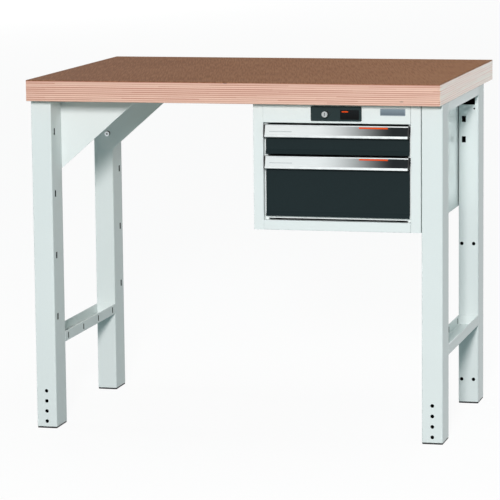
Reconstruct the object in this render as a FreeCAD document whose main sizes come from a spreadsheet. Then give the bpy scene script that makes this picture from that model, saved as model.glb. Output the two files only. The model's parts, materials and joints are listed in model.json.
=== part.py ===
import FreeCAD
import Part
import Sketcher
import math
import os
import re
from collections import namedtuple

# A workbench: a plywood top on two sheet-steel leg frames, with a lockable cabinet of two drawers
# under its right half and two knee plates at its left legs.
# Millimetres. X runs along the bench, Y from its front to its back and Z up.
# The origin is on the floor, below the middle of the worktop.

SIZES = {
    # whole bench
    "bench_width": 1000,
    "bench_depth": 750,
    "bench_height": 850,
    # worktop
    "worktop_thickness": 50,
    "facing_thickness": 1.5,
    "board_corner": 2,
    "board_edge": 1,
    # leg frames
    "leg_width": 50,
    "leg_depth": 80,
    "leg_wall": 2,
    "leg_corner": 3,
    "leg_setback": 35,
    "frame_depth": 580,
    "foot_thickness": 4,
    "foot_margin": 0.5,
    "foot_plug_height": 7,
    "foot_plug_play": 0.2,
    "crossrail_wall": 2,
    "crossrail_corner": 1.5,
    "lower_rail_level": 200,
    "lower_rail_height": 25,
    "upper_rail_height": 21,
    "rail_slot_width": 7,
    "rail_slot_height": 15,
    "rail_slot_margin": 24,
    # holes in the legs
    "anchor_hole_radius": 4.5,
    "anchor_hole_level": 17,
    "anchor_hole_pitch": 25,
    "leg_slot_width": 9,
    "leg_slot_height": 16,
    "leg_slot_inset": 24,
    "leg_slot_drop": 78,
    "leg_slot_pitch": 150,
    "window_margin": 4,
    "window_width": 37,
    "window_drop": 10,
    "window_height": 35,
    "bolt_slot_width": 10,
    "bolt_slot_height": 15.5,
    "bolt_slot_inset": 13,
    "bolt_slot_drop": 81,
    "bolt_slot_pitch": 51,
    "pin_hole_radius": 2.25,
    "pin_hole_inset": 39,
    "pin_hole_drop": 55,
    "pair_hole_radius": 4.5,
    "pair_hole_inset": 8,
    "pair_hole_pitch": 30,
    "pair_hole_level": 61.5,
    "pair_hole_rise": 345,
    # knee plates
    "gusset_thickness": 2.5,
    "gusset_lap": 30,
    "gusset_drop": 172,
    "gusset_reach": 190,
    "gusset_tip": 6,
    "gusset_flange": 28,
    "gusset_flange_length": 150,
    "gusset_play": 0.5,
    "gusset_screw_first": 40,
    "gusset_screw_pitch": 80,
    # bolts and screws
    "bolt_radius": 4,
    "bolt_head_radius": 6,
    "bolt_head_height": 2.5,
    "bolt_crown_radius": 4,
    "bolt_crown_height": 1.5,
    "bolt_hole_play": 0.3,
    "nut_radius": 7.5,
    "nut_height": 6,
    "thread_end": 3,
    "spacer_radius": 8,
    "screw_radius": 3,
    "screw_head_radius": 6,
    "screw_head_height": 2.5,
    "screw_depth": 30,
    "rail_screw_margin": 70,
    "cabinet_screw_spread": 280,
    "cabinet_screw_margin": 92,
    # drawer cabinet
    "cabinet_width": 400,
    "cabinet_back_set": 10,
    "cabinet_gap": 1.5,
    "sheet": 1.5,
    "sheet_corner": 1.2,
    "seam": 0.3,
    "stile_width": 24,
    "stile_return": 18,
    "flange_width": 8,
    "fascia_height": 46,
    "sill_height": 23,
    "sill_slot_height": 3.5,
    "sill_slot_margin": 9.5,
    "post_width": 28,
    "post_margin": 6,
    "post_set": 0.5,
    # drawers
    "drawer_gap": 5,
    "floor_gap": 1.5,
    "upper_front_height": 69,
    "lower_front_height": 142,
    "front_recess": 10,
    "front_thickness": 2,
    "front_margin": 4,
    "front_lip_rise": 11,
    "front_lip_reach": 6,
    "tray_wall": 1.5,
    "tray_lift": 5,
    "tray_drop": 12,
    # drawer rails
    "slide_set": 44,
    "slide_back_gap": 44.5,
    "slide_width": 14.5,
    "slide_height": 36,
    "slide_lift": 2,
    "slide_wall": 1.5,
    "slide_play": 0.3,
    "slide_web_gap": 2.5,
    "slide_lip_gap": 1.5,
    "slide_edge_gap": 0.5,
    # handles
    "handle_proud": 1,
    "handle_tilt": 20,
    "handle_length": 29.5,
    "handle_wall": 3,
    "handle_top_lip": 2.2,
    "handle_low_lip": 5.5,
    "handle_groove": 1,
    "handle_hook": 5,
    "handle_back_wall": 2,
    "handle_back_height": 15,
    "handle_side_gap": 2.5,
    "handle_cap": 3,
    "label_thickness": 0.5,
    "label_play": 0.2,
    # plates on the fascia
    "name_plate_width": 60,
    "name_plate_height": 17,
    "name_plate_drop": 9.5,
    "name_plate_offset": 134,
    "name_plate_thickness": 1,
    "name_plate_corner": 2,
    "lock_plate_width": 121,
    "lock_plate_height": 35,
    "lock_plate_drop": 5.5,
    "lock_plate_thickness": 3,
    "lock_plate_corner": 3,
    # lock
    "lock_offset": 23,
    "lock_drop": 23,
    "barrel_radius": 7,
    "barrel_reach": 20,
    "collar_radius": 9,
    "collar_depth": 26,
    "plug_radius": 5,
    "plug_play": 0.05,
    "keyway_width": 1.6,
    "keyway_height": 7,
    "keyway_depth": 8,
    "cam_gap": 0.3,
    "cam_radius": 12,
    "cam_thickness": 2.5,
    "crank": 8,
    "crank_pin_radius": 2,
    "crank_pin_length": 5.2,
    # bar that the lock slides in front of the drawer catches
    "bar_gap": 0.8,
    "bar_thickness": 2,
    "bar_travel": 8,
    "bar_overhang": 20,
    "bar_below": 8,
    "bar_above": 16,
    "bar_outer": 190,
    "bar_inner": 174,
    "bar_hook": 165.5,
    "bar_foot": 29,
    "crank_slot_width": 8,
    "crank_slot_end": 0.5,
    "guide_radius": 3,
    "guide_head_radius": 5,
    "guide_head_height": 1.5,
    "guide_play": 0.3,
    "guide_first": 40,
    "guide_pitch": 80,
    "guide_rise": 4,
    "guide_foot": 173,
    "guide_foot_rise": 12,
    "catch_reach": 9,
    "catch_depth": 10,
    "catch_height": 8,
    "catch_drop": 2,
    "catch_gap": 1,
    # how far a cut runs past the face it starts from
    "overrun": 1,
}

# Places worked out from the sizes.
PLACES = {
    "half_width": "bench_width / 2",
    "half_depth": "bench_depth / 2",
    "underside": "bench_height - worktop_thickness",
    "board_top": "bench_height - facing_thickness",
    "frame_front": "leg_setback - half_depth",
    "frame_back": "frame_front + frame_depth",
    "front_leg_back": "frame_front + leg_depth",
    "rear_leg_front": "frame_back - leg_depth",
    "slot_run": "rear_leg_front - front_leg_back - 2 * rail_slot_margin",
    "cabinet_middle": "half_width - leg_width - cabinet_gap - cabinet_half",
    "cabinet_half": "cabinet_width / 2",
    "cabinet_front": "frame_front",
    "cabinet_back": "frame_back - cabinet_back_set",
    "wall_half": "cabinet_half - sheet",
    "opening_half": "cabinet_half - stile_width",
    "flange_half": "opening_half - flange_width",
    "recess": "cabinet_front + stile_return",
    "fascia_bottom": "underside - fascia_height",
    "upper_top": "fascia_bottom - drawer_gap",
    "upper_bottom": "upper_top - upper_front_height",
    "lower_top": "upper_bottom - drawer_gap",
    "lower_bottom": "lower_top - lower_front_height",
    "sill_top": "lower_bottom - floor_gap - flange_width",
    "cabinet_bottom": "sill_top - sill_height",
    "front_face": "cabinet_front + front_recess",
    "front_half": "opening_half - front_margin",
    "slide_front": "cabinet_front + slide_set",
    "slide_back": "cabinet_back - sheet - slide_back_gap",
    "rear_post": "slide_back - post_margin - post_width",
    "post_half": "flange_half + post_set",
    "tray_half": "post_half - slide_width",
    "handle_edge": "cabinet_front - handle_proud",
    "handle_half": "opening_half - handle_side_gap - handle_cap",
    "handle_bend": "handle_wall * (1 - sin(handle_tilt)) / cos(handle_tilt)",
    "lock_level": "underside - lock_drop",
    "barrel_front": "cabinet_front - lock_plate_thickness - barrel_reach",
    "collar_back": "cabinet_front + collar_depth",
    "cam_front": "collar_back + cam_gap",
    "cam_back": "cam_front + cam_thickness",
    "bar_front": "cam_back + bar_gap",
    "bar_back": "bar_front + bar_thickness",
    "upper_catch": "upper_top - tray_drop - catch_drop",
    "lower_catch": "lower_top - tray_drop - catch_drop",
    "foot_bottom": "lower_catch - catch_height - bar_foot",
}

SIDES = ("left", "right")
ENDS = ("front", "rear")
DRAWERS = ("upper", "lower")
ANCHOR_HOLES = 4
LEG_SLOTS = 4
BOLT_SLOTS = 2
BOLTS_EACH_LEG = 2
RAIL_SLOTS = 4
SCREWS_EACH = 2
NUT_SIDES = 6

# Each way an outline can be extruded: the origin plane it is drawn on, and the sign of that
# plane's normal along the axis.
PLANES = {"X": ("YZ_Plane", 1), "Y": ("XZ_Plane", -1), "Z": ("XY_Plane", 1)}
QUARTER_TURN = 90
TURNS = {
    "X": FreeCAD.Rotation(FreeCAD.Vector(0, 1, 0), QUARTER_TURN),
    "Y": FreeCAD.Rotation(FreeCAD.Vector(1, 0, 0), -QUARTER_TURN),
    "Z": FreeCAD.Rotation(),
}
SAME_PLACE = 1e-4

Circle = namedtuple("Circle", "across up radius")

doc = FreeCAD.newDocument("Workbench")
pieces = []


def fill_sheet():
    """Puts each driving size in a cell of its own, under its name."""
    sheet = doc.addObject("Spreadsheet::Sheet", "Sizes")
    for row, (name, value) in enumerate(SIZES.items(), 1):
        sheet.set(f"A{row}", name)
        sheet.set(f"B{row}", str(value))
        sheet.setAlias(f"B{row}", name)
    doc.recompute()


def formula(text):
    """Writes a formula of sizes and places out in cells of the sheet."""
    def written(match):
        name = match.group(0)
        if name in PLACES:
            return f"({formula(PLACES[name])})"
        return f"Sizes.{name}" if name in SIZES else name
    return re.sub(r"[a-z_]+", written, text)


def end_x(side, inset):
    """X of a point that far inward from an end of the bench."""
    return f"(half_width - ({inset}))" if side == "right" else f"-(half_width - ({inset}))"


def frame_y(end, inset):
    """Y of a point that far inward from the front or the rear face of a leg frame."""
    return f"(frame_front + ({inset}))" if end == "front" else f"(frame_back - ({inset}))"


def cabinet_x(side, distance):
    """X of a point that far from the middle of the cabinet."""
    sign = "+" if side == "right" else "-"
    return f"(cabinet_middle {sign} ({distance}))"


def ordered(first, last, swap):
    """The two ends of a stretch, the lower first."""
    return (last, first) if swap else (first, last)


def around(centre, size):
    """The two ends of a stretch about its centre."""
    return f"{centre} - ({size}) / 2", f"{centre} + ({size}) / 2"


def rectangle(across, up):
    """The outline of a rectangle between two pairs of ends."""
    return [(across[0], up[0]), (across[1], up[0]), (across[1], up[1]), (across[0], up[1])]


def mirrored(side, points):
    """An outline given by its distances from the middle of the cabinet, set on one side of it."""
    return [(cabinet_x(side, across), up) for across, up in points]


def bind(sketch, text, *constraint):
    """Adds a constraint whose value follows a formula."""
    index = sketch.addConstraint(Sketcher.Constraint(*constraint))
    sketch.setExpression(f"Constraints[{index}]", formula(text))


def bind_point(sketch, point, start, edge, end):
    """Holds an end or a centre of a drawn edge at two formulas."""
    bind(sketch, point[0], "DistanceX", -1, 1, edge, end, start.x)
    bind(sketch, point[1], "DistanceY", -1, 1, edge, end, start.y)


def draw_circle(sketch, circle):
    centre = FreeCAD.Vector(1, 1, 0)
    edge = sketch.addGeometry(Part.Circle(centre, FreeCAD.Vector(0, 0, 1), 1), False)
    bind_point(sketch, (circle.across, circle.up), centre, edge, 3)
    bind(sketch, circle.radius, "Radius", edge, 1)


def draw_outline(sketch, points):
    count = len(points)
    first = sketch.GeometryCount
    angles = [index * math.tau / count for index in range(count)]
    starts = [FreeCAD.Vector(math.cos(angle), math.sin(angle), 0) for angle in angles]
    following = [(index + 1) % count for index in range(count)]
    sketch.addGeometry([Part.LineSegment(starts[a], starts[b]) for a, b in enumerate(following)], False)
    joins = [("Coincident", first + a, 2, first + b, 1) for a, b in enumerate(following)]
    sketch.addConstraint([Sketcher.Constraint(*join) for join in joins])
    for index, point in enumerate(points):
        bind_point(sketch, point, starts[index], first + index, 1)


def extrude(body, feature, axis, loops, low, high):
    """Adds or cuts what outlines enclose, from low to high along an axis."""
    role, sign = PLANES[axis]
    adds = feature == "Pad"
    start = low if adds == (sign > 0) else high
    sketch = body.newObject("Sketcher::SketchObject", f"{body.Name}_outline")
    plane = next(item for item in body.Origin.OriginFeatures if item.Role == role)
    sketch.AttachmentSupport = [(plane, "")]
    sketch.MapMode = "FlatFace"
    sketch.setExpression("AttachmentOffset.Base.z", formula(f"{sign} * ({start})"))
    for loop in loops:
        if isinstance(loop, Circle):
            draw_circle(sketch, loop)
        else:
            draw_outline(sketch, loop)
    item = body.newObject(f"PartDesign::{feature}", f"{body.Name}_{feature}")
    item.Profile = sketch
    item.setExpression("Length", formula(f"({high}) - ({low})"))


def pad(body, axis, loops, low, high):
    extrude(body, "Pad", axis, loops, low, high)


def pocket(body, axis, loops, low, high):
    extrude(body, "Pocket", axis, loops, low, high)


def round_edges(body, axis, sides, radius):
    """Rounds the edges along an axis, or along any, that lie on all the named sides of the body's box."""
    doc.recompute()
    base = body.Tip
    box = base.Shape.BoundBox
    limits = {"x-": box.XMin, "x+": box.XMax, "y-": box.YMin,
              "y+": box.YMax, "z-": box.ZMin, "z+": box.ZMax}

    def chosen(edge):
        run = edge.Vertexes[-1].Point - edge.Vertexes[0].Point
        middle = edge.CenterOfMass
        along = axis == "any" or abs(abs(run["XYZ".index(axis)]) - edge.Length) < SAME_PLACE
        return along and all(abs(middle["xyz".index(s[0])] - limits[s]) < SAME_PLACE for s in sides)

    names = [f"Edge{index}" for index, edge in enumerate(base.Shape.Edges, 1) if chosen(edge)]
    item = body.newObject("PartDesign::Fillet", f"{body.Name}_Fillet")
    item.Base = (base, names)
    item.setExpression("Radius", formula(radius))


def new_body(name):
    return doc.addObject("PartDesign::Body", name)


def new_piece(name):
    """A body that is a piece of the bench by itself."""
    pieces.append(new_body(name))
    return pieces[-1]


def settle(item, axis, place):
    """Turns a primitive to an axis and holds it at three formulas."""
    item.Placement = FreeCAD.Placement(FreeCAD.Vector(), TURNS[axis])
    for letter, text in zip("xyz", place):
        item.setExpression(f"Placement.Base.{letter}", formula(text))


def rod(axis, place, radius, length):
    item = doc.addObject("Part::Cylinder", "Rod")
    item.setExpression("Radius", formula(radius))
    item.setExpression("Height", formula(length))
    settle(item, axis, place)
    return item


def stack(axis, place, steps):
    """Joins cylinders of given radius and length end to end along an axis."""
    place = list(place)
    along = "XYZ".index(axis)
    rods = []
    for radius, length in steps:
        rods.append(rod(axis, place, radius, length))
        place[along] = f"{place[along]} + {length}"
    joined = doc.addObject("Part::MultiFuse", "Stack")
    joined.Shapes = rods
    return joined


def nut(axis, place):
    blank = doc.addObject("Part::Prism", "NutBlank")
    blank.Polygon = NUT_SIDES
    blank.setExpression("Circumradius", formula("nut_radius"))
    blank.setExpression("Height", formula("nut_height"))
    settle(blank, axis, place)
    return bored(blank, rod(axis, place, "bolt_radius", "nut_height"))


def bored(blank, tool):
    item = doc.addObject("Part::Cut", "Bored")
    item.Base = blank
    item.Tool = tool
    return item


def new_group(name, items):
    """Like fasteners, each a solid of its own, as one piece."""
    group = doc.addObject("Part::Compound", name)
    group.Links = items
    pieces.append(group)


def gusset_screw_places(end):
    """Where the screws of a knee plate enter the worktop."""
    inset = "leg_depth + (gusset_thickness + gusset_flange) / 2"
    steps = [f"gusset_screw_first + {index} * gusset_screw_pitch" for index in range(SCREWS_EACH)]
    return [(end_x("left", f"leg_width + {step}"), frame_y(end, inset)) for step in steps]


def all_gusset_screw_places():
    return [place for end in ENDS for place in gusset_screw_places(end)]


def rail_screw_places():
    inset = "leg_depth + rail_screw_margin"
    return [(end_x(side, "leg_width / 2"), frame_y(end, inset)) for side in SIDES for end in ENDS]


def cabinet_screw_places():
    rows = ("recess + cabinet_screw_margin", "cabinet_back - cabinet_screw_margin")
    return [(cabinet_x(side, "cabinet_screw_spread / 2"), row) for side in SIDES for row in rows]


def screws(name, places, sheet_thickness):
    """Screws up into the worktop, their heads under a sheet of that thickness."""
    items = []
    for across, along in places:
        start = f"underside - {sheet_thickness} - screw_head_height"
        shank = f"({sheet_thickness} + screw_depth)"
        steps = [("screw_head_radius", "screw_head_height"), ("screw_radius", shank)]
        items.append(stack("Z", (across, along, start), steps))
    new_group(name, items)


def worktop():
    outline = rectangle(("-half_width", "half_width"), ("-half_depth", "half_depth"))
    board = new_piece("worktop_board")
    pad(board, "Z", [outline], "underside", "board_top")
    round_edges(board, "Z", [], "board_corner")
    round_edges(board, "any", ["z-"], "board_edge")
    places = all_gusset_screw_places() + rail_screw_places() + cabinet_screw_places()
    holes = [Circle(across, along, "screw_radius") for across, along in places]
    pocket(board, "Z", holes, "underside - overrun", "underside + screw_depth")
    facing = new_piece("worktop_facing")
    pad(facing, "Z", [outline], "board_top", "bench_height")
    round_edges(facing, "Z", [], "board_corner")


def leg_slot_level(index):
    """The level of a slot in a leg's inner face, counted from the top."""
    return f"(underside - leg_slot_drop - {index} * leg_slot_pitch)"


def bolt_slot_level(index):
    """The level of a slot for a knee plate's bolt, counted from the top."""
    return f"(underside - bolt_slot_drop - {index} * bolt_slot_pitch)"


def leg(side, end):
    """A hollow leg: slots face the knee space, other cut-outs the other leg, anchor holes the front."""
    right, rear = side == "right", end == "rear"
    body = new_piece(f"{side}_{end}_leg")
    outer = rectangle((end_x(side, "0"), end_x(side, "leg_width")),
                      (frame_y(end, "0"), frame_y(end, "leg_depth")))
    inner = rectangle((end_x(side, "leg_wall"), end_x(side, "leg_width - leg_wall")),
                      (frame_y(end, "leg_wall"), frame_y(end, "leg_depth - leg_wall")))
    pad(body, "Z", [outer], "foot_thickness", "underside")
    round_edges(body, "Z", [], "leg_corner")
    pocket(body, "Z", [inner], "foot_thickness - overrun", "underside + overrun")

    if not rear:
        levels = [f"anchor_hole_level + {index} * anchor_hole_pitch" for index in range(ANCHOR_HOLES)]
        anchors = [Circle(end_x(side, "leg_width / 2"), level, "anchor_hole_radius") for level in levels]
        pocket(body, "Y", anchors, frame_y(end, "-overrun"), frame_y(end, "leg_wall + overrun"))

    across = around(frame_y(end, "leg_slot_inset"), "leg_slot_width")
    levels = [leg_slot_level(index) for index in range(LEG_SLOTS)]
    slots = [rectangle(across, around(level, "leg_slot_height")) for level in levels]
    inside = end_x(side, "leg_width - leg_wall - overrun"), end_x(side, "leg_width + overrun")
    pocket(body, "X", slots, *ordered(*inside, right))

    between = frame_y(end, "leg_depth - leg_wall - overrun"), frame_y(end, "leg_depth + overrun")
    pocket(body, "Y", frame_side_holes(side, end), *ordered(*between, rear))


def frame_side_holes(side, end):
    """The cut-outs in the face of a leg that looks at the other leg of its frame."""
    def inward(inset):
        return end_x(side, f"leg_width - ({inset})")

    holes = [rectangle((inward("window_margin"), inward("window_margin + window_width")),
                       ("underside - window_drop - window_height", "underside - window_drop"))]
    across = around(inward("bolt_slot_inset"), "bolt_slot_width")
    for index in range(BOLT_SLOTS):
        holes.append(rectangle(across, around(bolt_slot_level(index), "bolt_slot_height")))
    holes.append(Circle(inward("pin_hole_inset"), "underside - pin_hole_drop", "pin_hole_radius"))
    if (side, end) in (("left", "front"), ("right", "rear")):
        for inset in ("pair_hole_inset", "pair_hole_inset + pair_hole_pitch"):
            for level in ("pair_hole_level", "pair_hole_level + pair_hole_rise"):
                holes.append(Circle(inward(inset), level, "pair_hole_radius"))
    return holes


def foot(side, end):
    """A plastic cap under a leg, with a plug that stands inside it."""
    def outline(inset):
        return rectangle((end_x(side, inset), end_x(side, f"leg_width - ({inset})")),
                         (frame_y(end, inset), frame_y(end, f"leg_depth - ({inset})")))

    body = new_piece(f"{side}_{end}_foot")
    pad(body, "Z", [outline("foot_margin")], "0", "foot_thickness")
    round_edges(body, "Z", [], "leg_corner")
    plug = [outline("leg_wall + foot_plug_play")]
    pad(body, "Z", plug, "foot_thickness", "foot_thickness + foot_plug_height")


def crossrail(side, level, base, rim):
    """A channel between two legs, its web at the base and its walls reaching the rim."""
    def channel(floor):
        inner = "leg_width - crossrail_wall"
        spots = [("0", base), ("leg_width", base), ("leg_width", rim), (inner, rim),
                 (inner, floor), ("crossrail_wall", floor), ("crossrail_wall", rim), ("0", rim)]
        return [(end_x(side, inset), height) for inset, height in spots]

    body = new_piece(f"{side}_{level}_rail")
    upward = level == "lower"
    floor = f"{base} + crossrail_wall" if upward else f"{base} - crossrail_wall"
    pad(body, "Y", [channel(floor)], "front_leg_back", "rear_leg_front")
    for edge in ("x-", "x+"):
        round_edges(body, "Y", [edge, "z-" if upward else "z+"], "crossrail_corner")
    return body


def lower_rail(side):
    """A slotted channel, closed at both ends by plates against the legs."""
    rim = "lower_rail_level + lower_rail_height"
    body = crossrail(side, "lower", "lower_rail_level", rim)
    inside = end_x(side, "crossrail_wall"), end_x(side, "leg_width - crossrail_wall")
    plate = rectangle(inside, ("lower_rail_level + crossrail_wall", rim))
    pad(body, "Y", [plate], "front_leg_back", "front_leg_back + crossrail_wall")
    pad(body, "Y", [plate], "rear_leg_front - crossrail_wall", "rear_leg_front")
    middle = "lower_rail_level + lower_rail_height / 2"
    slots = []
    for index in range(RAIL_SLOTS):
        along = f"front_leg_back + rail_slot_margin + slot_run * {index} / {RAIL_SLOTS - 1}"
        slots.append(rectangle(around(along, "rail_slot_width"), around(middle, "rail_slot_height")))
    wall = ordered(end_x(side, "leg_width - crossrail_wall - overrun"),
                   end_x(side, "leg_width + overrun"), side == "right")
    pocket(body, "X", slots, *wall)


def upper_rail(side):
    body = crossrail(side, "upper", "underside", "underside - upper_rail_height")
    holes = [Circle(end_x(side, "leg_width / 2"), frame_y(end, "leg_depth + rail_screw_margin"),
                    "screw_radius") for end in ENDS]
    pocket(body, "Z", holes, "underside - crossrail_wall - overrun", "underside + overrun")


def gusset(end):
    """A knee plate: it laps the leg below the upper rail and is folded over under the worktop."""
    rear = end == "rear"
    body = new_piece(f"left_{end}_gusset")
    root = end_x("left", "leg_width")
    clear = end_x("left", "leg_width + gusset_play")
    lap = end_x("left", "leg_width - gusset_lap")
    tip = end_x("left", "leg_width + gusset_reach")
    shoulder = "underside - upper_rail_height - gusset_play"
    outline = [(lap, "underside - gusset_drop"), (root, "underside - gusset_drop"),
               (tip, "underside - gusset_tip"), (tip, "underside"), (clear, "underside"),
               (clear, shoulder), (lap, shoulder)]
    plate = ordered(frame_y(end, "leg_depth"), frame_y(end, "leg_depth + gusset_thickness"), rear)
    pad(body, "Y", [outline], *plate)
    fold = rectangle((clear, f"{clear} + gusset_flange_length"),
                     ("underside - gusset_thickness", "underside"))
    width = frame_y(end, "leg_depth"), frame_y(end, "leg_depth + gusset_flange")
    pad(body, "Y", [fold], *ordered(*width, rear))
    across = end_x("left", "leg_width - bolt_slot_inset")
    bolts = [Circle(across, bolt_slot_level(index), "bolt_radius + bolt_hole_play")
             for index in range(BOLT_SLOTS)]
    through = ordered(frame_y(end, "leg_depth - overrun"),
                      frame_y(end, "leg_depth + gusset_thickness + overrun"), rear)
    pocket(body, "Y", bolts, *through)
    holes = [Circle(across, along, "screw_radius") for across, along in gusset_screw_places(end)]
    pocket(body, "Z", holes, "underside - gusset_thickness - overrun", "underside + overrun")


def gusset_fasteners():
    """Dome-headed bolts through the knee plates and leg walls, with nuts inside the legs."""
    shank = ("bolt_radius", "(thread_end + nut_height + leg_wall + gusset_thickness)")
    head = [("bolt_head_radius", "bolt_head_height"), ("bolt_crown_radius", "bolt_crown_height")]
    inside = "leg_depth - leg_wall - nut_height - thread_end"
    outside = "leg_depth + gusset_thickness + bolt_head_height + bolt_crown_height"
    across = end_x("left", "leg_width - bolt_slot_inset")
    items = []
    for index in range(BOLT_SLOTS):
        level = bolt_slot_level(index)
        items.append(stack("Y", (across, frame_y("front", inside), level), [shank] + head))
        items.append(nut("Y", (across, frame_y("front", "leg_depth - leg_wall - nut_height"), level)))
        items.append(stack("Y", (across, frame_y("rear", outside), level), head[::-1] + [shank]))
        items.append(nut("Y", (across, frame_y("rear", "leg_depth - leg_wall"), level)))
    new_group("gusset_fasteners", items)


def leg_bolt_places():
    """Where the cabinet is bolted to the right legs, through their two upper slots."""
    levels = [leg_slot_level(index) for index in range(BOLTS_EACH_LEG)]
    return [(frame_y(end, "leg_slot_inset"), level) for end in ENDS for level in levels]


def cabinet_leg_bolts():
    """Bolts with a spacer between cabinet and leg, and a nut inside the leg."""
    shank = "(sheet + cabinet_gap + leg_wall + nut_height + thread_end)"
    steps = [("bolt_crown_radius", "bolt_crown_height"), ("bolt_head_radius", "bolt_head_height"),
             ("bolt_radius", shank)]
    items = []
    for along, level in leg_bolt_places():
        start = cabinet_x("right", "wall_half - bolt_head_height - bolt_crown_height")
        items.append(stack("X", (start, along, level), steps))
        items.append(nut("X", (end_x("right", "leg_width - leg_wall"), along, level)))
        gap = (cabinet_x("right", "cabinet_half"), along, level)
        spacer = rod("X", gap, "spacer_radius", "cabinet_gap")
        items.append(bored(spacer, rod("X", gap, "bolt_radius", "cabinet_gap")))
    new_group("cabinet_leg_bolts", items)


def cabinet_side(side):
    """A side wall folded into the front stile, its return and the flange behind the opening."""
    body = new_piece(f"cabinet_{side}_side")
    fold = "opening_half + sheet"
    outline = [("cabinet_half", "cabinet_back"), ("cabinet_half", "cabinet_front"),
               ("opening_half", "cabinet_front"), ("opening_half", "recess - sheet"),
               ("flange_half", "recess - sheet"), ("flange_half", "recess"),
               (fold, "recess"), (fold, "cabinet_front + sheet"),
               ("wall_half", "cabinet_front + sheet"), ("wall_half", "cabinet_back")]
    pad(body, "Z", [mirrored(side, outline)], "cabinet_bottom", "underside")
    round_edges(body, "Z", ["y-"], "sheet_corner")
    if side == "right":
        holes = [Circle(along, level, "bolt_radius + bolt_hole_play") for along, level in leg_bolt_places()]
        wall = cabinet_x(side, "wall_half - overrun"), cabinet_x(side, "cabinet_half + overrun")
        pocket(body, "X", holes, *wall)


def cabinet_panels():
    """The sheets that close the cabinet above, below and behind."""
    inside = (cabinet_x("left", "wall_half"), cabinet_x("right", "wall_half"))
    level = rectangle(inside, ("recess", "cabinet_back - sheet"))
    top = new_piece("cabinet_top")
    pad(top, "Z", [level], "underside - sheet", "underside")
    holes = [Circle(across, along, "screw_radius") for across, along in cabinet_screw_places()]
    pocket(top, "Z", holes, "underside - sheet - overrun", "underside + overrun")
    floor = new_piece("cabinet_floor")
    pad(floor, "Z", [level], "cabinet_bottom", "cabinet_bottom + sheet")
    back = new_piece("cabinet_back")
    upright = rectangle(inside, ("cabinet_bottom", "underside"))
    pad(back, "Y", [upright], "cabinet_back - sheet", "cabinet_back")


def front_rail(name, outline):
    """A folded rail across the front of the cabinet, between the stiles."""
    body = new_piece(name)
    ends = [cabinet_x(side, "opening_half - seam") for side in SIDES]
    pad(body, "X", [outline], *ends)
    round_edges(body, "X", ["y-"], "sheet_corner")
    return body


def fascia():
    skin, rear = "cabinet_front + sheet", "recess - sheet"
    body = front_rail("cabinet_fascia", [
        ("cabinet_front", "fascia_bottom"), (rear, "fascia_bottom"), (rear, "fascia_bottom + sheet"),
        (skin, "fascia_bottom + sheet"), (skin, "underside - sheet"), (rear, "underside - sheet"),
        (rear, "underside"), ("cabinet_front", "underside")])
    hole = Circle(cabinet_x("left", "lock_offset"), "lock_level", "barrel_radius")
    pocket(body, "Y", [hole], "cabinet_front - overrun", "cabinet_front + sheet + overrun")


def sill():
    """The bottom rail, with a long air slot under the flange behind it."""
    skin, rear = "cabinet_front + sheet", "recess - sheet"
    body = front_rail("cabinet_sill", [
        ("cabinet_front", "cabinet_bottom"), (rear, "cabinet_bottom"), (rear, "cabinet_bottom + sheet"),
        (skin, "cabinet_bottom + sheet"), (skin, "sill_top - sheet"), (rear, "sill_top - sheet"),
        (rear, "sill_top + flange_width"), (f"{rear} - sheet", "sill_top + flange_width"),
        (f"{rear} - sheet", "sill_top"), ("cabinet_front", "sill_top")])
    span = [cabinet_x(side, "opening_half - sill_slot_margin") for side in SIDES]
    slot = rectangle(span, ("sill_top", "sill_top + sill_slot_height"))
    pocket(body, "Y", [slot], f"{rear} - sheet - overrun", f"{rear} + overrun")


def posts():
    """Channels inside the cabinet that carry the fixed rails."""
    items = []
    for side in SIDES:
        for start in ("slide_front", "rear_post"):
            body = new_body("Post")
            finish = f"{start} + post_width"
            web = "post_half + sheet"
            outline = [("post_half", start), ("wall_half", start), ("wall_half", f"{start} + sheet"),
                       (web, f"{start} + sheet"), (web, f"{finish} - sheet"),
                       ("wall_half", f"{finish} - sheet"), ("wall_half", finish), ("post_half", finish)]
            pad(body, "Z", [mirrored(side, outline)], "cabinet_bottom + sheet", "underside - sheet")
            items.append(body)
    new_group("cabinet_posts", items)


# The three nested rails of a runner, by distance from the middle of the cabinet: the back of the
# web, its other face, the edge of the lips, and how much lower than the widest rail each lip is.
RAILS = {
    "fixed": ("post_half", "post_half - slide_wall", "tray_half + slide_lip_gap", "0"),
    "middle": ("post_half - slide_wall - slide_web_gap", "post_half - 2 * slide_wall - slide_web_gap",
               "tray_half + slide_wall + slide_edge_gap", "slide_wall + slide_play"),
    "drawer": ("tray_half", "tray_half + slide_wall",
               "post_half - 2 * slide_wall - slide_web_gap - slide_lip_gap", "2 * (slide_wall + slide_play)"),
}


def runner(drawer, side):
    centre = f"({drawer}_bottom + tray_lift + slide_lift + slide_height / 2)"
    for kind, (back, face, lip, inset) in RAILS.items():
        body = new_piece(f"{drawer}_{side}_{kind}_rail")
        rim = f"(slide_height / 2 - ({inset}))"
        hollow = f"({rim} - slide_wall)"
        outline = [(lip, f"{centre} - {rim}"), (back, f"{centre} - {rim}"), (back, f"{centre} + {rim}"),
                   (lip, f"{centre} + {rim}"), (lip, f"{centre} + {hollow}"), (face, f"{centre} + {hollow}"),
                   (face, f"{centre} - {hollow}"), (lip, f"{centre} - {hollow}")]
        pad(body, "Y", [mirrored(side, outline)], "slide_front", "slide_back")


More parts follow.
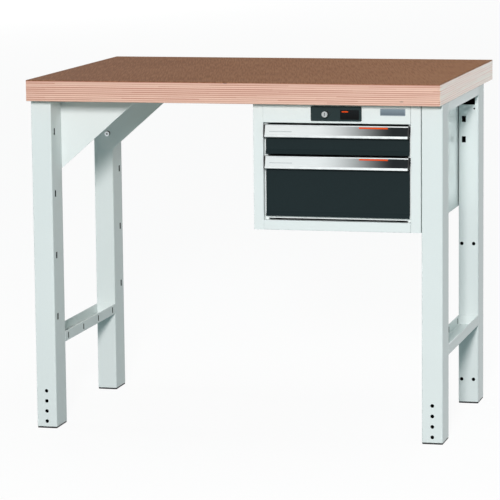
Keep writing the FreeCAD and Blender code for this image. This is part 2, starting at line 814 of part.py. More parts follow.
def tray(drawer):
    """The open box of a drawer."""
    body = new_piece(f"{drawer}_tray")
    floor, top = f"{drawer}_bottom + tray_lift", f"{drawer}_top - tray_drop"
    front = "front_face + front_thickness"
    outer = rectangle([cabinet_x(side, "tray_half") for side in SIDES], (front, "slide_back"))
    inner = rectangle([cabinet_x(side, "tray_half - tray_wall") for side in SIDES],
                      (f"{front} + tray_wall", "slide_back - tray_wall"))
    pad(body, "Z", [outer], floor, top)
    pocket(body, "Z", [inner], f"{floor} + tray_wall", f"{top} + overrun")


def drawer_front(drawer):
    """A sheet front whose lower edge is turned forward."""
    body = new_piece(f"{drawer}_front")
    top, bottom = f"{drawer}_top", f"{drawer}_bottom"
    bend = f"{bottom} + front_lip_rise"
    outline = [("front_face", top), ("front_face", bend), ("front_face - front_lip_reach", bottom),
               ("front_face - front_lip_reach + front_thickness", bottom),
               ("front_face + front_thickness", bend), ("front_face + front_thickness", top)]
    pad(body, "X", [outline], cabinet_x("left", "front_half"), cabinet_x("right", "front_half"))


def on_handle(drawer, down, inward):
    """A point of a handle's section, by its way down the slanted face and in from it."""
    along = f"handle_edge - ({down}) * sin(handle_tilt) + ({inward}) * cos(handle_tilt)"
    level = f"{drawer}_top - ({down}) * cos(handle_tilt) - ({inward}) * sin(handle_tilt)"
    return along, level


def handle(drawer):
    """A strip handle: a hood over the fingers, with a grooved face and a hooked lower edge."""
    def point(down, inward):
        return on_handle(drawer, down, inward)

    body = new_piece(f"{drawer}_handle")
    low_lip = "handle_length - handle_low_lip"
    low_wall = "handle_length - handle_wall"
    back = "front_face - handle_back_wall"
    outline = [("front_face", f"{drawer}_top"), point("0", "0"),
               point("handle_top_lip", "0"), point("handle_top_lip", "handle_groove"),
               point(low_lip, "handle_groove"), point(low_lip, "0"),
               point("handle_length", "0"), point("handle_length", "handle_hook"),
               point(low_wall, "handle_hook"), point(low_wall, "handle_wall"),
               point("handle_bend", "handle_wall"), (back, f"{drawer}_top - handle_wall"),
               (back, f"{drawer}_top - handle_back_height"),
               ("front_face", f"{drawer}_top - handle_back_height")]
    pad(body, "X", [outline], cabinet_x("left", "handle_half"), cabinet_x("right", "handle_half"))


def handle_caps(drawer):
    outline = [("front_face", f"{drawer}_top"), on_handle(drawer, "0", "0"),
               on_handle(drawer, "handle_length", "0"), on_handle(drawer, "handle_length", "handle_hook"),
               ("front_face", f"{drawer}_top - handle_back_height")]
    items = []
    for side in SIDES:
        body = new_body("Cap")
        ends = cabinet_x(side, "handle_half"), cabinet_x(side, "handle_half + handle_cap")
        pad(body, "X", [outline], *ordered(*ends, side == "left"))
        items.append(body)
    new_group(f"{drawer}_handle_caps", items)


def label(drawer):
    """The strip that lies in the groove of a handle."""
    body = new_piece(f"{drawer}_label")
    top, low = "handle_top_lip + label_play", "handle_length - handle_low_lip - label_play"
    skin = "handle_groove - label_thickness"
    outline = [on_handle(drawer, top, skin), on_handle(drawer, low, skin),
               on_handle(drawer, low, "handle_groove"), on_handle(drawer, top, "handle_groove")]
    ends = cabinet_x("left", "handle_half - label_play"), cabinet_x("right", "handle_half - label_play")
    pad(body, "X", [outline], *ends)


def catch(drawer):
    """The stop on a drawer's right wall that the locked bar stands in front of."""
    body = new_piece(f"{drawer}_catch")
    outline = rectangle((cabinet_x("right", "tray_half"), cabinet_x("right", "tray_half + catch_reach")),
                        ("bar_back + catch_gap", "bar_back + catch_gap + catch_depth"))
    pad(body, "Z", [outline], f"{drawer}_catch - catch_height", f"{drawer}_catch")


def fascia_plates():
    middle = cabinet_x("right", "name_plate_offset")
    plate = new_piece("name_plate")
    up = ("underside - name_plate_drop - name_plate_height", "underside - name_plate_drop")
    outline = rectangle(around(middle, "name_plate_width"), up)
    pad(plate, "Y", [outline], "cabinet_front - name_plate_thickness", "cabinet_front")
    round_edges(plate, "Y", [], "name_plate_corner")
    plate = new_piece("lock_plate")
    up = ("underside - lock_plate_drop - lock_plate_height", "underside - lock_plate_drop")
    outline = rectangle(around("cabinet_middle", "lock_plate_width"), up)
    pad(plate, "Y", [outline], "cabinet_front - lock_plate_thickness", "cabinet_front")
    round_edges(plate, "Y", [], "lock_plate_corner")
    hole = Circle(cabinet_x("left", "lock_offset"), "lock_level", "barrel_radius")
    pocket(plate, "Y", [hole], "cabinet_front - lock_plate_thickness - overrun", "cabinet_front + overrun")


def lock():
    """A fixed barrel, the plug that turns in it and the cam on the plug's inner end."""
    across = cabinet_x("left", "lock_offset")

    def round_at(radius):
        return Circle(across, "lock_level", radius)

    bore = round_at("plug_radius + plug_play")
    housing = new_piece("lock_housing")
    pad(housing, "Y", [round_at("barrel_radius"), bore], "barrel_front", "collar_back")
    pad(housing, "Y", [round_at("collar_radius"), bore], "cabinet_front + sheet", "collar_back")
    plug = new_piece("lock_plug")
    pad(plug, "Y", [round_at("plug_radius")], "barrel_front", "cam_back")
    keyway = rectangle(around(across, "keyway_width"), around("lock_level", "keyway_height"))
    pocket(plug, "Y", [keyway], "barrel_front - overrun", "barrel_front + keyway_depth")
    cam = new_piece("lock_cam")
    pad(cam, "Y", [round_at("cam_radius"), round_at("plug_radius")], "cam_front", "cam_back")
    pin = Circle(across, "lock_level + crank", "crank_pin_radius")
    pad(cam, "Y", [pin], "cam_back", "cam_back + crank_pin_length")


def guide_places():
    """The pins that guide the lock bar, by distance from the middle of the cabinet and level."""
    first = ("guide_first", "lock_level + guide_rise")
    second = ("guide_first + guide_pitch", "lock_level + guide_rise")
    return first, second, ("guide_foot", "foot_bottom + guide_foot_rise")


def lock_bar():
    """A plate behind the fascia and the right stile, with a hook for each drawer's catch."""
    body = new_piece("lock_bar")
    end = cabinet_x("left", "lock_offset + bar_overhang")
    outer, inner, hook = (cabinet_x("right", edge) for edge in ("bar_outer", "bar_inner", "bar_hook"))
    top, arm = "lock_level + bar_above", "lock_level - bar_below"
    outline = [(end, top), (outer, top), (outer, "foot_bottom"), (hook, "foot_bottom"),
               (hook, "lower_catch"), (inner, "lower_catch"), (inner, "upper_catch - catch_height"),
               (hook, "upper_catch - catch_height"), (hook, "upper_catch"), (inner, "upper_catch"),
               (inner, arm), (end, arm)]
    pad(body, "Y", [outline], "bar_front", "bar_back")
    past = "crank_pin_radius + crank_slot_end"
    slots = [rectangle(around(cabinet_x("left", "lock_offset"), "crank_slot_width"),
                       (f"lock_level - ({past})", f"lock_level + crank + {past}"))]
    room = "guide_radius + guide_play"
    for distance, level in guide_places():
        reach = (f"{distance} - ({room})", f"{distance} + bar_travel + {room}")
        ends = [cabinet_x("right", edge) for edge in reach]
        slots.append(rectangle(ends, around(level, f"2 * ({room})")))
    pocket(body, "Y", slots, "bar_front - overrun", "bar_back + overrun")


def lock_bar_guides():
    """Shouldered pins: two on the back of the fascia, one on the front right post."""
    head = ("guide_head_radius", "guide_head_height")
    shoulder = ("guide_radius", "(bar_thickness + 2 * guide_play)")
    start, foot_start = "cabinet_front + sheet", "bar_front - guide_play - guide_head_height"
    stand = ("guide_head_radius", f"(bar_front - guide_play - ({start}))")
    foot_stand = ("guide_head_radius", "(slide_front - bar_back - guide_play)")
    *upper, lowest = guide_places()
    items = [stack("Y", (cabinet_x("right", distance), start, level), [stand, shoulder, head])
             for distance, level in upper]
    distance, level = lowest
    items.append(stack("Y", (cabinet_x("right", distance), foot_start, level), [head, shoulder, foot_stand]))
    new_group("lock_bar_guides", items)


def cabinet():
    for side in SIDES:
        cabinet_side(side)
    cabinet_panels()
    fascia()
    sill()
    posts()
    screws("cabinet_worktop_screws", cabinet_screw_places(), "sheet")
    cabinet_leg_bolts()
    fascia_plates()
    lock()
    lock_bar()
    lock_bar_guides()


def drawers():
    for drawer in DRAWERS:
        for side in SIDES:
            runner(drawer, side)
        tray(drawer)
        drawer_front(drawer)
        handle(drawer)
        handle_caps(drawer)
        label(drawer)
        catch(drawer)


def leg_frames():
    for side in SIDES:
        for end in ENDS:
            leg(side, end)
            foot(side, end)
        lower_rail(side)
        upper_rail(side)
    for end in ENDS:
        gusset(end)
    gusset_fasteners()
    screws("gusset_worktop_screws", all_gusset_screw_places(), "gusset_thickness")
    screws("rail_worktop_screws", rail_screw_places(), "crossrail_wall")


def misses(cut):
    """Whether a cut took nothing away."""
    return cut.Shape.isNull() or cut.Shape.Volume >= cut.BaseFeature.Shape.Volume


def check():
    """Stops before anything is written if an object failed or a cut missed its solid."""
    failed = [item.Label for item in doc.Objects if {"Invalid", "Error"} & set(item.State)]
    failed += [piece.Label for piece in pieces if piece.Shape.isNull() or not piece.Shape.isValid()]
    failed += [item.Label for item in doc.Objects if item.TypeId == "PartDesign::Pocket" and misses(item)]
    if failed:
        raise RuntimeError(f"failed: {failed}")


def write():
    os.makedirs("parts", exist_ok=True)
    for piece in pieces:
        piece.Shape.exportStep(f"parts/{piece.Label}.step")
        print(piece.Label, len(piece.Shape.Solids), round(piece.Shape.Volume))


fill_sheet()
worktop()
leg_frames()
cabinet()
drawers()
doc.recompute()
check()
write()
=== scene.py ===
# %% [markdown]
# # Dressing a workbench
#
# The bench has a plywood top with a brown wear sheet, two welded leg frames and a steel cabinet with
# two drawers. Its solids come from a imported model, so every shape already has its true size and place.
# This lesson gives each of them a finish, adds a thin badge and the details of a few bolts, and sets up
# the camera and a plain studio.

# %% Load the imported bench
import bmesh
import bpy
import json
import math
from mathutils import Matrix, Vector


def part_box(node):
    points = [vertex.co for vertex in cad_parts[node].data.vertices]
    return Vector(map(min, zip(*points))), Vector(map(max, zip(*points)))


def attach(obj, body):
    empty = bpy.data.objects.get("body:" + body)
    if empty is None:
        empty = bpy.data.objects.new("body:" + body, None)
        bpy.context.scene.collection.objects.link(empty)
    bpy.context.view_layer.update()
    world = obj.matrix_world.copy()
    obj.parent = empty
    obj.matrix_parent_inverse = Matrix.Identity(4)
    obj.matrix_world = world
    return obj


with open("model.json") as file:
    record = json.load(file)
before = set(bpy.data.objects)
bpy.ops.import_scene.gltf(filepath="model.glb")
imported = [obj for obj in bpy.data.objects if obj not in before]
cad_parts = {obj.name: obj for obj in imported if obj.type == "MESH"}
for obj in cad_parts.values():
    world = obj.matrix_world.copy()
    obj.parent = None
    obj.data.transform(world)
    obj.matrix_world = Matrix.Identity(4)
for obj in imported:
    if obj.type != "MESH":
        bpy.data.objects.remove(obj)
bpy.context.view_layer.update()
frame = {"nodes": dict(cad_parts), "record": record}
NODES = frame["nodes"]

# %% [markdown]
# ## The camera
#
# The bench is seen from its right and from above the worktop, through a long lens. A camera could be
# aimed by hand, but the place and turn below come from the bench's own corners in the picture. The
# turns are made in the order of a tripod: yaw, then pitch, then roll. They are worked out as a picture
# counts, with Y downwards and the view along Z. Blender's camera looks the other way along Z with Y
# upwards, so these two axes change sign at the end.

# %% Camera
IMAGE_PIXELS = 500
FOCAL_PIXELS = 2803
SENSOR_MM = 36
CAMERA_PLACE = Vector((1.647, -6.699, 1.404))
YAW, PITCH, ROLL = (math.radians(angle) for angle in (14.20, 8.27, -0.58))


def add_object(name, data):
    """A new object in the scene, at the origin."""
    added = bpy.data.objects.new(name, data)
    bpy.context.scene.collection.objects.link(added)
    return added


looking_along_y = Matrix(((1, 0, 0), (0, 0, -1), (0, 1, 0)))
turned = (Matrix.Rotation(ROLL, 3, "Z") @ Matrix.Rotation(PITCH, 3, "X")
          @ Matrix.Rotation(YAW, 3, "Y") @ looking_along_y)
to_blender = Matrix.Diagonal((1, -1, -1))
camera_turn = (to_blender @ turned).transposed().to_4x4()

camera_data = bpy.data.cameras.new("camera")
camera_data.sensor_width = SENSOR_MM
camera_data.lens = SENSOR_MM * FOCAL_PIXELS / IMAGE_PIXELS
camera = add_object("camera", camera_data)
camera.matrix_world = Matrix.Translation(CAMERA_PLACE) @ camera_turn
bpy.context.scene.camera = camera
print(f"lens {camera_data.lens:.1f} mm")

# %% [markdown]
# ## Sums on sockets
#
# A finish is a small sum of patterns: a grain, a cloud, a stripe. Wiring each Math node by hand hides
# that sum. A class that wraps a socket and answers to plus, minus, times and divided by lets the sum be
# written as it is thought, and one method makes every other kind of node.

# %% Sockets that take part in sums
class Wire:
    """A socket in a material's nodes that stands in a sum as a number does."""

    def __init__(self, tree, socket=None):
        self.tree = tree
        self.socket = socket

    def node(self, kind, settings=None, inputs=None, output=0):
        """A new node of any kind: first its settings, then the values or links of its sockets."""
        made = self.tree.nodes.new("ShaderNode" + kind)
        for name, value in (settings or {}).items():
            setattr(made, name, value)
        for name, value in (inputs or {}).items():
            if isinstance(value, Wire):
                self.tree.links.new(value.socket, made.inputs[name])
            else:
                made.inputs[name].default_value = value
        return Wire(self.tree, made.outputs[output])

    def math(self, operation, *others):
        return self.node("Math", {"operation": operation}, dict(enumerate((self, *others))))

    def math_after(self, operation, other):
        """A sum that starts with the other value, for the reflected forms."""
        return self.node("Math", {"operation": operation}, {0: other, 1: self})

    def __add__(self, other):
        return self.math("ADD", other)

    def __sub__(self, other):
        return self.math("SUBTRACT", other)

    def __rsub__(self, other):
        return self.math_after("SUBTRACT", other)

    def __mul__(self, other):
        return self.math("MULTIPLY", other)

    def __truediv__(self, other):
        return self.math("DIVIDE", other)

    def __rtruediv__(self, other):
        return self.math_after("DIVIDE", other)

    def __gt__(self, other):
        return self.math("GREATER_THAN", other)

    def __lt__(self, other):
        return self.math("LESS_THAN", other)

    __radd__ = __add__
    __rmul__ = __mul__

    def stretched(self, x, y, z):
        return self.node("Mapping", None, {"Vector": self, "Scale": (x, y, z)})

    def noise(self, scale, detail=2.0, roughness=0.5):
        values = {"Vector": self, "Scale": scale, "Detail": detail, "Roughness": roughness}
        return self.node("TexNoise", None, values)

    def steps(self, low, high):
        """0 below low, 1 above high and a smooth way between them."""
        values = {"Value": self, "From Min": low, "From Max": high}
        return self.node("MapRange", {"interpolation_type": "SMOOTHSTEP"}, values)

    def between(self, low, high):
        """1 between two limits and 0 outside them."""
        return (self > low) * (1 - (self > high))

    def mix(self, first, second):
        """The first colour where this mask is 0, and the second where it is 1."""
        return self.node("Mix", {"data_type": "RGBA"}, {0: self, 6: first, 7: second}, output=2)


print("sockets take part in sums")

# %% [markdown]
# ## What every finish starts from
#
# A finish is a Principled shader and the patterns that feed it. The patterns could lie on a UV map, but
# these solids have none. They read the place of a point on its piece instead, so their sizes are true
# and they ride along when a drawer moves. Colours are written as a screen shows them, and turned into the
# linear light that shaders work with.

# %% Helpers for finishes
FINISHES = {}


def seen(red, green, blue):
    """A colour written as a screen shows it, from 0 to 255."""
    def linear(value):
        share = value / 255
        return share / 12.92 if share <= 0.04045 else ((share + 0.055) / 1.055) ** 2.4
    return linear(red), linear(green), linear(blue), 1.0


def start_finish(name, constants):
    """A new material's shader, and the place of a point on the piece."""
    material = bpy.data.materials.new(name)
    material.use_nodes = True
    shader = material.node_tree.nodes["Principled BSDF"]
    for socket, value in constants.items():
        shader.inputs[socket].default_value = value
    FINISHES[name] = material
    place = Wire(material.node_tree).node("TexCoord", output="Object")
    return shader, place


def feed(node, wires):
    """Links each wire to the node's socket of that name."""
    for socket, wire in wires.items():
        wire.tree.links.new(wire.socket, node.inputs[socket])


def bump(height, strength, distance):
    return height.node("Bump", None, {"Height": height, "Strength": strength, "Distance": distance})


print("helpers for finishes ready")

# %% [markdown]
# ## Powder coat
#
# Nearly all the steel is powder coated. The powder melts into a film that is smooth but never flat:
# seen close it has a fine orange-peel swell, and its shine drifts a little over a panel. A picture of
# painted steel could be wrapped round the parts, but noise in a few sizes costs less and never shows a
# seam. Each paint mixes its colour with a slightly deeper one.

# %% Powder-coated steel
# Bare steel, coloured near black as painted shade for the holes and slots in legs and rails
BARE_STEEL_AND_HOLE_SHADE = seen(24, 26, 27)
# How many clouds, speckles and swells fit in a metre, and how high a swell stands
PAINT_CLOUDS = 2.3
SPECKLES = 420
SWELLS = 260
SWELL_HEIGHT = 0.0004


def powder_coat(name, colours, roughness, specular, peel, bare_and_shaded=None):
    """A painted steel; the optional mask marks bare steel, coloured near black as painted shade for the
    holes.
    """
    colour, deeper = colours
    shader, place = start_finish(name, {"Specular IOR Level": specular})
    cloud = place.noise(PAINT_CLOUDS)
    speckle = place.noise(SPECKLES)
    swell = place.noise(SWELLS, detail=1.0)
    tone = (cloud * 0.7 + speckle * 0.3).steps(0.25, 0.75)
    paint = tone.mix(seen(*deeper), seen(*colour))
    feed(shader, {
        # Under the mask the paint gives way to bare steel's near black, painted shade in the holes
        "Base Color": bare_and_shaded(place).mix(paint, BARE_STEEL_AND_HOLE_SHADE) if bare_and_shaded else paint,
        "Roughness": roughness - 0.05 + cloud * 0.06 + speckle * 0.04,
        "Normal": bump(swell, peel, SWELL_HEIGHT),
    })


CABINET_GREY = (230, 238, 237), (225, 233, 232)
TRAY_GREY = (214, 221, 221), (206, 214, 214)
ANTHRACITE = (33, 45, 47), (28, 39, 41)
PLATE_GREY = (45, 58, 59), (40, 52, 53)
powder_coat("grey_paint", CABINET_GREY, roughness=0.13, specular=0.36, peel=0.06)
powder_coat("tray_paint", TRAY_GREY, roughness=0.34, specular=0.5, peel=0.10)
powder_coat("anthracite_paint", ANTHRACITE, roughness=0.46, specular=0.06, peel=0.16)
powder_coat("plate_paint", PLATE_GREY, roughness=0.40, specular=0.06, peel=0.10)
print("powder coats:", ", ".join(FINISHES))

# %% [markdown]
# The legs are tubes, and powder doesn't fly far into a tube: inside they are bare steel. The narrow slots
# were punched late and keep bare edges too. These bare faces are coloured near black as painted shade,
# which is why every hole and slot in them looks black. These faces could be cut off as pieces of their
# own, but a mask that knows how deep a point lies paints them without touching the solid. The frames are
# the same on both sides, so the right one gives the limits.

# %% Legs and slotted rails, bare where the powder never went, with painted shade in the holes
FRAME_GREY = (227, 235, 234), (221, 230, 229)
TUBE_WALL = 0.0019
CUT_DEPTH = 0.003
TOWARDS_Y = 0.9


def axes(place):
    return [place.node("SeparateXYZ", None, {"Vector": place}, output=axis) for axis in range(3)]


def facing(place):
    """How far a face looks along X, Y and Z, either way."""
    normal = place.node("NewGeometry", output="True Normal")
    return [axis.math("ABSOLUTE") for axis in axes(normal)]


def cut_across(place, *nodes):
    """Faces that look along Y, deeper than CUT_DEPTH inside any of the nodes."""
    y = axes(place)[1]
    boxes = [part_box(node) for node in nodes]
    deep = sum(y.between(low.y + CUT_DEPTH, high.y - CUT_DEPTH) for low, high in boxes)
    return (facing(place)[1] > TOWARDS_Y) * deep


def bare_and_shaded_in_legs(place):
    x, y, _ = axes(place)
    low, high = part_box("right_front_leg")
    rear_low, rear_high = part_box("right_rear_leg")
    tube_width = x.math("ABSOLUTE").between(low.x + TUBE_WALL, high.x - TUBE_WALL)
    front_tube = y.between(low.y + TUBE_WALL, high.y - TUBE_WALL)
    rear_tube = y.between(rear_low.y + TUBE_WALL, rear_high.y - TUBE_WALL)
    tubes = tube_width * (front_tube + rear_tube)
    return tubes + cut_across(place, "right_front_leg", "right_rear_leg")


def bare_and_shaded_in_rails(place):
    return cut_across(place, "right_lower_rail")


for name, bare_and_shaded in (("leg_paint", bare_and_shaded_in_legs), ("rail_paint", bare_and_shaded_in_rails)):
    powder_coat(name, FRAME_GREY, roughness=0.13, specular=0.14, peel=0.06, bare_and_shaded=bare_and_shaded)
print("legs and rails with bare cuts")

# %% [markdown]
# ## Beech plywood
#
# The top is a thick board of thin beech veneers, glued with the grain turned by a right angle from one
# to the next. Its edges show that stack: pale long grain and redder end grain by turns. The redder
# veneers are laid in strips that differ a little, and here and there sits a dark knot. A photographed
# edge would repeat. Here each veneer, strip and knot draws a number by chance from its place, and that
# number sets its tint.

# %% Veneers, strips and knots by chance
VENEER = 0.0024
STRIP = 0.19
STRIP_SHIFT = 7
KNOT_ROOM = 0.07
KNOT_CHANCE = 0.005
# How fast a knot ends along the edge and through its veneer
KNOT_ALONG = 150
KNOT_THROUGH = 5


def point(x, y, z):
    """Three values as one place."""
    return x.node("CombineXYZ", None, {"X": x, "Y": y, "Z": z})


def by_chance(lots, layer):
    """A number from 0 to 1 for each whole lot in each veneer."""
    cell = point(lots.math("FLOOR"), layer, 0.0)
    return cell.node("TexWhiteNoise", {"noise_dimensions": "2D"}, {"Vector": cell})


def strips(along, layer, tint):
    """A number for each strip; the strips of one veneer start elsewhere than those of the next."""
    return by_chance(along / STRIP + tint * STRIP_SHIFT, layer)


def knots(along, stack, layer):
    """1 on a few small ovals that lie along the veneers."""
    lots = along / KNOT_ROOM
    wide = lots.math("FRACT") - 0.5
    high = stack.math("FRACT") - 0.5
    oval = wide * wide * KNOT_ALONG + high * high * KNOT_THROUGH
    return (by_chance(lots, layer) > 1 - KNOT_CHANCE) * (1 - oval.steps(0.5, 1.0))


print(f"veneers of {VENEER * 1000:.1f} mm")

# %% [markdown]
# Fine streaks and longer lines run along the edges, and the glue lines wave a little. The edges are
# lacquered. On the board's ends the veneers are painted paler, a painted highlight for the light and the
# white surroundings that the lacquered ends catch, and the lines between them redder. The underside is
# raw and shows the grain of one veneer. All of it is one finish, which tells the faces apart by the way
# they look.

# %% Plywood board
FRONT_PALE, FRONT_RED = seen(235, 198, 177), seen(181, 120, 99)
# The ends' pale colour is painted light: paler than the front's, for the light their lacquer catches
END_PALE_PAINTED_LIGHT, END_RED = seen(255, 236, 210), seen(244, 138, 86)
UNDER_PALE, UNDER_RED = seen(226, 192, 164), seen(205, 163, 132)
KNOT_BROWN = seen(92, 52, 44)
# How often the patterns change: along the edge, from veneer to veneer and through the board
STREAKS = 5, 40, 900
LONG_LINES = 2, 90, 330
UNDER_GRAIN = 6, 190, 6
WAVES = 6
WAVE_HEIGHT = 0.0006
STREAK_HEIGHT = 0.0005
TURNED_TO = 0.7


def grain(place):
    """Noise with strong fine detail, as in wood and drawn metal."""
    return place.noise(1.0, detail=3.0, roughness=0.6)


def plywood():
    shader, place = start_finish("worktop_ply", {"Specular IOR Level": 0.55, "Coat Roughness": 0.12})
    x, y, z = axes(place)
    end, _, flat = facing(place)
    along = x + y
    stack = (z + place.noise(WAVES, detail=1.0) * WAVE_HEIGHT) / VENEER
    layer = stack.math("FLOOR")
    tint = layer.node("TexWhiteNoise", {"noise_dimensions": "1D"}, {"W": layer})

    def edge_lines(along_often, veneer_often, through_often):
        return point(along * along_often, tint * veneer_often, z * through_often)

    turned_grain = layer.math("MODULO", 2.0)
    strip = strips(along, layer, tint) * turned_grain
    streak = grain(edge_lines(*STREAKS))
    long_line = edge_lines(*LONG_LINES).noise(1.0)
    redness = tint * 0.22 + turned_grain * 0.26 + strip * 0.34 + streak * 0.70 + long_line * 0.45
    front = redness.steps(0.46, 1.26).mix(FRONT_PALE, FRONT_RED)
    # The ends, painted paler as a painted highlight
    side = redness.steps(0.70, 1.24).mix(END_PALE_PAINTED_LIGHT, END_RED)
    under = grain(place.stretched(*UNDER_GRAIN)).steps(0.3, 0.75).mix(UNDER_PALE, UNDER_RED)
    edges = knots(along, stack, layer).mix((end > TURNED_TO).mix(front, side), KNOT_BROWN)
    feed(shader, {
        "Base Color": (flat > TURNED_TO).mix(edges, under),
        "Roughness": 0.30 + streak * 0.16,
        "Coat Weight": (1 - flat) * (0.80 + tint * 0.2),
        "Normal": bump(streak, 0.12, STREAK_HEIGHT),
    })


plywood()
print("plywood ready")

# %% [markdown]
# ## The wear sheet
#
# The brown sheet on top is smooth and tough, a matt brown with a fine fibre that runs from front to
# back, a little askew. A scan of such a sheet could be laid on, but noise stretched into long fine lines
# shows the fibre at any size. A broad cloud breaks the colour. The colour is also painted a little lighter
# towards the right, as painted light for the stronger light there, and a very shallow bump keeps its
# shine from being a mirror's.

# %% Brown wear sheet
SHEET_DARK, SHEET_LIGHT = seen(122, 79, 52), seen(151, 107, 77)
# How often the sheet changes in a metre: across a fibre, along it, and from cloud to cloud
FIBRES = 300
FIBRE_BREAKS = 12
SHEET_CLOUDS = 5
FIBRE_SLANT = 0.25
FIBRE_HEIGHT = 0.0003
# Painted light: how much lighter the sheet is coloured towards the right, for the stronger light there
PAINTED_LIGHT_TOWARDS_RIGHT = 0.26


def wear_sheet():
    shader, place = start_finish("worktop_brown", {"Specular IOR Level": 0.04})
    x, y, z = axes(place)
    fibre = point((x + y * FIBRE_SLANT) * FIBRES, y * FIBRE_BREAKS, z * FIBRES).noise(1.0)
    cloud = place.noise(SHEET_CLOUDS, detail=3.0)
    # The tone takes in painted light that grows towards the right
    tone = (fibre * 1.2 + cloud * 0.2 + x * PAINTED_LIGHT_TOWARDS_RIGHT - 0.2).steps(0.2, 0.8)
    feed(shader, {
        "Base Color": tone.mix(SHEET_DARK, SHEET_LIGHT),
        "Roughness": 0.66 + fibre * 0.14,
        "Normal": bump(fibre, 0.08, FIBRE_HEIGHT),
    })


wear_sheet()
print("wear sheet ready")

# %% [markdown]
# ## Metals
#
# The handles are extruded aluminium with drawn lines along them, the fittings are zinc plated and
# faintly mottled, the lock is polished nickel and the bolts inside the legs are blackened. Each could
# be a plain grey, but real metal is never one grey: its lines and flecks change its shine and, less, its
# colour. One function makes them all.

# %% Metals
FLECKS = 60
LINE_HEIGHT = 0.0002


def metal(name, bright, dull, lines, roughness):
    """A metal whose lines change so many times in a metre along X, Y and Z."""
    shader, place = start_finish(name, {"Metallic": 1.0})
    drawn = grain(place.stretched(*lines))
    fleck = place.noise(FLECKS)
    tone = (drawn * 0.6 + fleck * 0.4).steps(0.3, 0.7)
    feed(shader, {
        "Base Color": tone.mix(seen(*dull), seen(*bright)),
        "Roughness": roughness - 0.06 + drawn * 0.08 + fleck * 0.06,
        "Normal": bump(drawn, 0.06, LINE_HEIGHT),
    })


metal("bare_aluminium", (194, 201, 201), (174, 182, 183), lines=(4, 1500, 1500), roughness=0.38)
metal("zinc_steel", (226, 232, 233), (202, 209, 211), lines=(200, 60, 200), roughness=0.34)
metal("lock_nickel", (168, 174, 174), (138, 144, 144), lines=(500, 20, 500), roughness=0.36)
# A darker steel that stands, as painted shade, for the inside of the hexagon sockets
metal("socket_shade_steel", (136, 143, 145), (104, 110, 112), lines=(300, 300, 300), roughness=0.5)
metal("black_oxide", (44, 47, 49), (30, 33, 35), lines=(200, 60, 200), roughness=0.45)
print("metals ready")

# %% [markdown]
# ## Black plastic
#
# The feet and the handles' end caps are moulded, and their mould leaves a fine grain. A bump map could
# hold it, but noise gives the same grain on every side of a cap.

# %% Black plastic
MOULD_GRAIN = 900
MOULD_CLOUDS = 30
MOULD_GRAIN_HEIGHT = 0.0002


def moulded_plastic():
    shader, place = start_finish("black_plastic", {"Specular IOR Level": 0.3})
    fine = place.noise(MOULD_GRAIN)
    cloud = place.noise(MOULD_CLOUDS)
    feed(shader, {
        "Base Color": cloud.steps(0.3, 0.7).mix(seen(13, 15, 16), seen(21, 24, 25)),
        "Roughness": 0.46 + fine * 0.14,
        "Normal": bump(fine, 0.2, MOULD_GRAIN_HEIGHT),
    })


moulded_plastic()
print("finishes:", ", ".join(FINISHES))

# %% [markdown]
# ## Printed strips and the plate
#
# Each handle carries a printed strip, and the fascia a blue-grey plate. The prints are plain: a fade from
# silver to charcoal with a thin line and an orange bar, and no words. A print could be a picture, but a
# few bands measured along the strip stay sharp at any distance.

# %% Printed finishes
ORANGE = seen(226, 76, 18)
SILVER, CHARCOAL = seen(226, 231, 231), seen(28, 33, 35)
LINE_GREY = seen(170, 178, 180)
PLATE_DARK, PLATE_LIGHT, PLATE_RIM = seen(84, 99, 110), seen(116, 133, 144), seen(150, 163, 171)
# From and to along the piece and up it, as shares of its length and height
STRIP_FADE = 0.34, 0.92
STRIP_LINE = (0.03, 0.19), (0.34, 0.40)
STRIP_BAR = (0.66, 0.86), (0.80, 0.97)
PLATE_FIELD = (0.025, 0.975), (0.09, 0.91)
PAPER_GRAIN = 900
ENAMEL_GRAIN = 700


def across(place, low, high):
    """How far along X and Z a point lies on a piece, as shares of its box."""
    x, _, z = axes(place)
    return (x - low.x) / (high.x - low.x), (z - low.z) / (high.z - low.z)


def patch(along, up, limits):
    """1 inside a rectangle on the piece and 0 outside it."""
    return along.between(*limits[0]) * up.between(*limits[1])


def handle_print(drawer):
    shader, place = start_finish(f"{drawer}_print", {"Specular IOR Level": 0.08})
    along, up = across(place, *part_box(f"{drawer}_label"))
    paper = place.noise(PAPER_GRAIN)
    field = (along + paper * 0.02).steps(*STRIP_FADE).mix(SILVER, CHARCOAL)
    lined = patch(along, up, STRIP_LINE).mix(field, LINE_GREY)
    barred = patch(along, up, STRIP_BAR).mix(lined, ORANGE)
    feed(shader, {"Base Color": barred, "Roughness": 0.28 + paper * 0.08})


def enamel_plate():
    shader, place = start_finish("plate_blue", {"Specular IOR Level": 0.5})
    along, up = across(place, *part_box("name_plate"))
    fine = place.noise(ENAMEL_GRAIN)
    field = (up + fine * 0.08).steps(0.0, 1.0).mix(PLATE_DARK, PLATE_LIGHT)
    rimmed = patch(along, up, PLATE_FIELD).mix(PLATE_RIM, field)
    feed(shader, {"Base Color": rimmed, "Roughness": 0.3 + fine * 0.08})


for drawer in ("upper", "lower"):
    handle_print(drawer)
enamel_plate()
print("prints ready")

# %% [markdown]
# ## Dressing the solids
#
# The imported record names a finish for each solid. Most go by that name. The two printed strips each get
# their own, because a print has to know where its strip lies. So do the legs and the lower rails with
# their bare cuts painted near black as shade, the lock plate, and the blackened bolts inside the legs.

